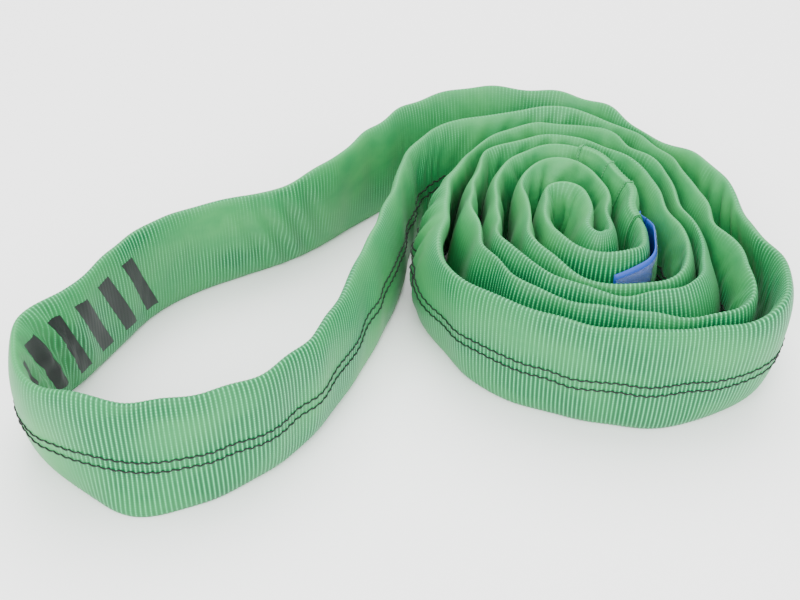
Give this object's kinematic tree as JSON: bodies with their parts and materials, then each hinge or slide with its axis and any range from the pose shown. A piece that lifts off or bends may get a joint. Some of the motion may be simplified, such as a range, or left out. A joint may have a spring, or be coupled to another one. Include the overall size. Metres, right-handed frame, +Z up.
{
  "type": "round sling",
  "caption": "Green endless polyester round sling, folded in two and rolled up standing on its edge, with one end loop left out and a blue sewn label inside the coil.",
  "frame": {"origin": "under the middle of the sling's bounding box, on the surface it stands on", "axes": "+X from the end loop to the coil, +Y to the back, +Z up, along the band's width"},
  "size_m": [0.2612, 0.1902, 0.0463],
  "materials": {
    "jacket": "woven, matt",
    "yarn": "matt filament yarn",
    "tracer_thread": "matt thread",
    "seam_thread": "matt thread",
    "label": "coated fabric, satin",
    "film": "clear flexible film"
  },
  "bodies": {
    "sling": {"jacket": "jacket", "yarn_hank_1": "yarn", "yarn_hank_2": "yarn", "yarn_hank_3": "yarn", "yarn_hank_4": "yarn", "yarn_hank_5": "yarn", "yarn_hank_6": "yarn", "yarn_hank_7": "yarn", "yarn_hank_8": "yarn", "yarn_hank_9": "yarn", "tracer_row_lower": "tracer_thread", "tracer_row_upper": "tracer_thread", "splice_cover": "jacket", "cross_seam_1": "seam_thread", "cross_seam_2": "seam_thread", "cross_seam_3": "seam_thread", "label_tab": "label", "label_stitch_row": "seam_thread"},
    "label": {"label_leaf": "label", "label_film": "film"}
  },
  "joints": [
    {"name": "label_swing", "type": "hinge", "parent": "sling", "child": "label", "pos_m": [0.0879, 0.0066, 0.023], "axis": [0, 0, 1], "range_deg": [0, 8]}
  ]
}
